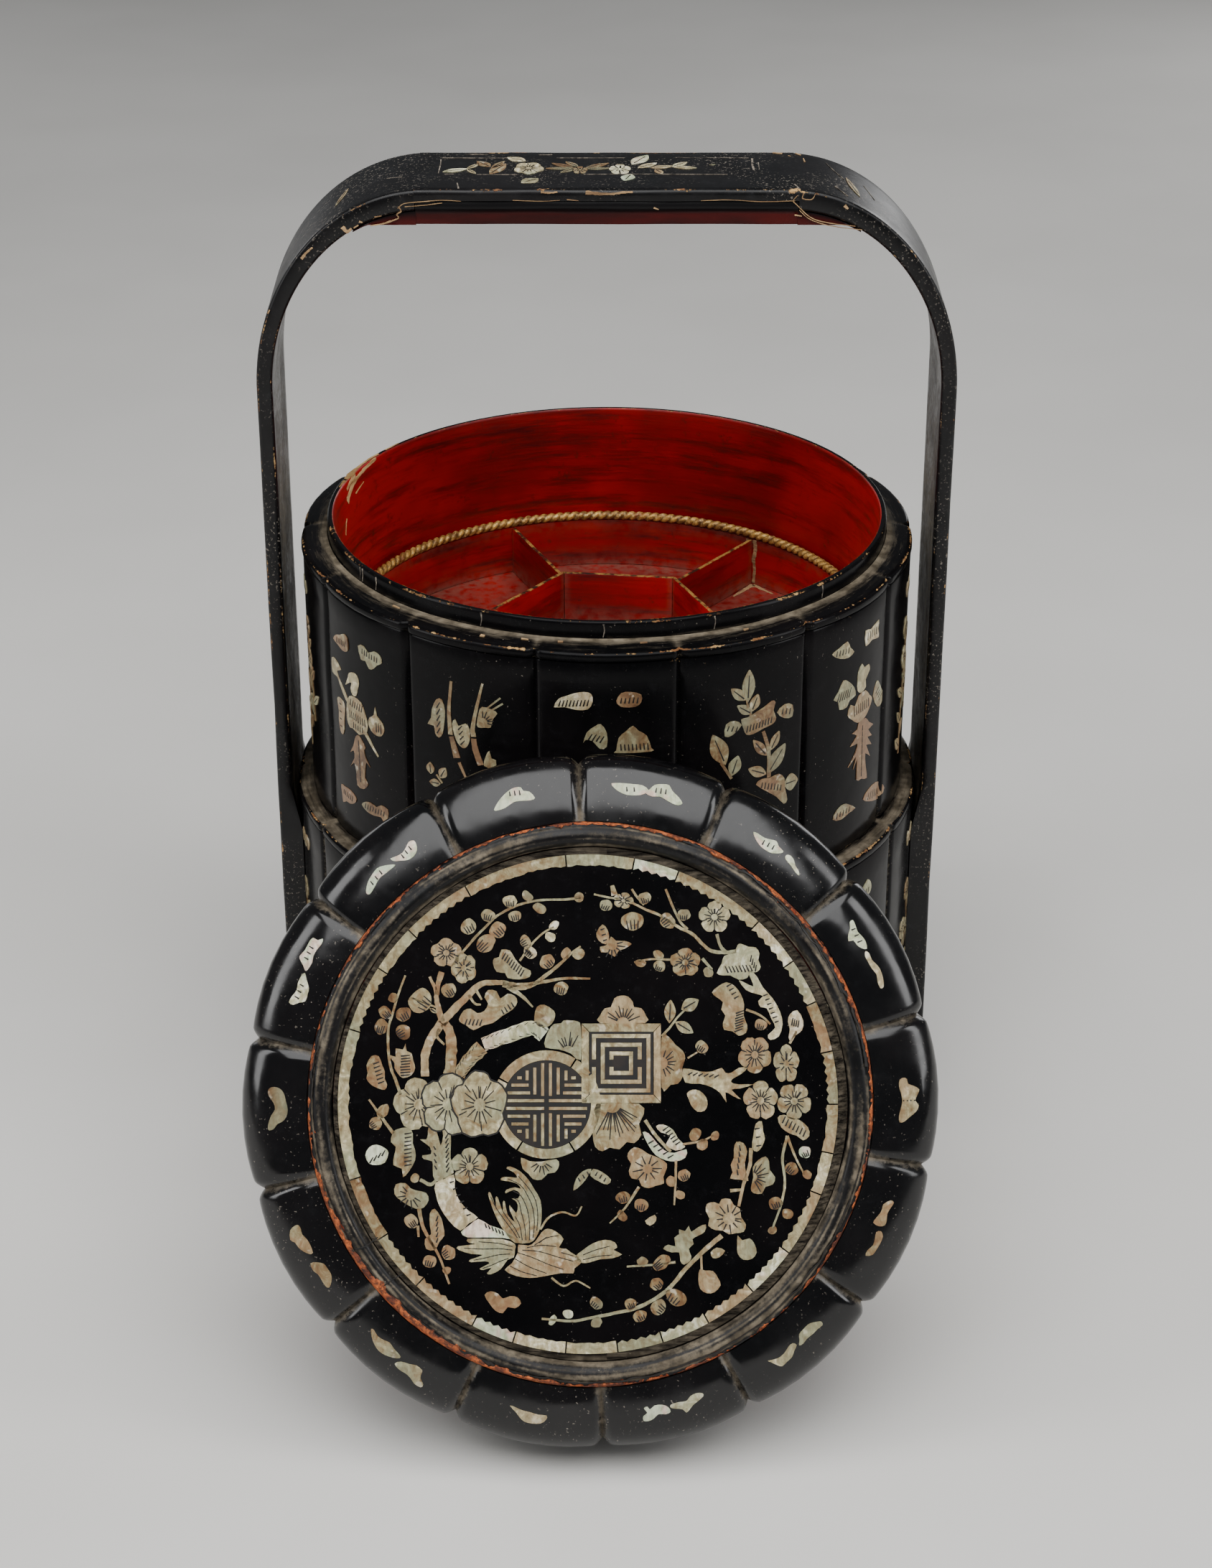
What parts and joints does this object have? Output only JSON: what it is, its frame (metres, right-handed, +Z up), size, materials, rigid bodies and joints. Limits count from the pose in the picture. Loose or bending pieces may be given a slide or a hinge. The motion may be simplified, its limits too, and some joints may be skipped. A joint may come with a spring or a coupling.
{
  "type": "tiered food basket",
  "caption": "Lobed lacquered wooden food basket with stacking tiers, a divided lift-out tray, a fixed bow handle and a lift-off lid, for carrying food.",
  "frame": {"origin": "on the floor under the middle of the base board", "axes": "+Z up; the lid leans on the front, towards -Y; the bow handle's uprights stand at -X and +X"},
  "size_m": [0.311, 0.459, 0.4682],
  "materials": {
    "black_lacquer": "polished black lacquer, crazed and rubbed at the edges",
    "red_lacquer": "satin red lacquer with fine brush marks",
    "brown_lacquer": "dark red-brown lacquer, dull with handling",
    "gilt_paint": "worn gilt paint on carved rope pattern",
    "bare_wood": "bare wood",
    "mother_of_pearl": "thin shell inlay, engraved, with a soft play of colours"
  },
  "bodies": {
    "base": {"base_board": "black_lacquer", "lower_wall": "black_lacquer", "lower_ledge": "black_lacquer", "lower_neck": "black_lacquer", "handle_side_right": "black_lacquer", "handle_side_left": "black_lacquer", "handle_top_strip": "black_lacquer", "handle_grip": "brown_lacquer", "upright_peg_right_lower": "bare_wood", "upright_peg_right_upper": "bare_wood", "upright_peg_left_lower": "bare_wood", "upright_peg_left_upper": "bare_wood"},
    "upper_tier": {"upper_wall": "black_lacquer", "upper_ledge": "black_lacquer", "upper_floor": "red_lacquer", "upper_lining": "red_lacquer", "tray_support_ring": "red_lacquer"},
    "tray": {"tray_floor": "red_lacquer", "tray_wall": "red_lacquer", "tray_rim": "gilt_paint", "tray_hexagon_board_1": "red_lacquer", "tray_hexagon_board_2": "red_lacquer", "tray_hexagon_board_3": "red_lacquer", "tray_hexagon_board_4": "red_lacquer", "tray_hexagon_board_5": "red_lacquer", "tray_hexagon_board_6": "red_lacquer", "tray_divider_1": "red_lacquer", "tray_divider_2": "red_lacquer", "tray_divider_3": "red_lacquer", "tray_divider_4": "red_lacquer", "tray_divider_5": "red_lacquer", "tray_divider_6": "red_lacquer"},
    "lid": {"lid_wall": "black_lacquer", "lid_crest_ring": "black_lacquer", "lid_panel": "black_lacquer"}
  },
  "joints": [
    {"name": "upper_tier_lift", "type": "slide", "parent": "base", "child": "upper_tier", "axis": [0, 0, 1], "range_m": [0, 0.08]},
    {"name": "tray_lift", "type": "slide", "parent": "upper_tier", "child": "tray", "axis": [0, 0, 1], "range_m": [0, 0.09]},
    {"name": "lid_draw", "type": "slide", "parent": "base", "child": "lid", "axis": [0, -1, 0], "range_m": [0, 0.15]}
  ]
}
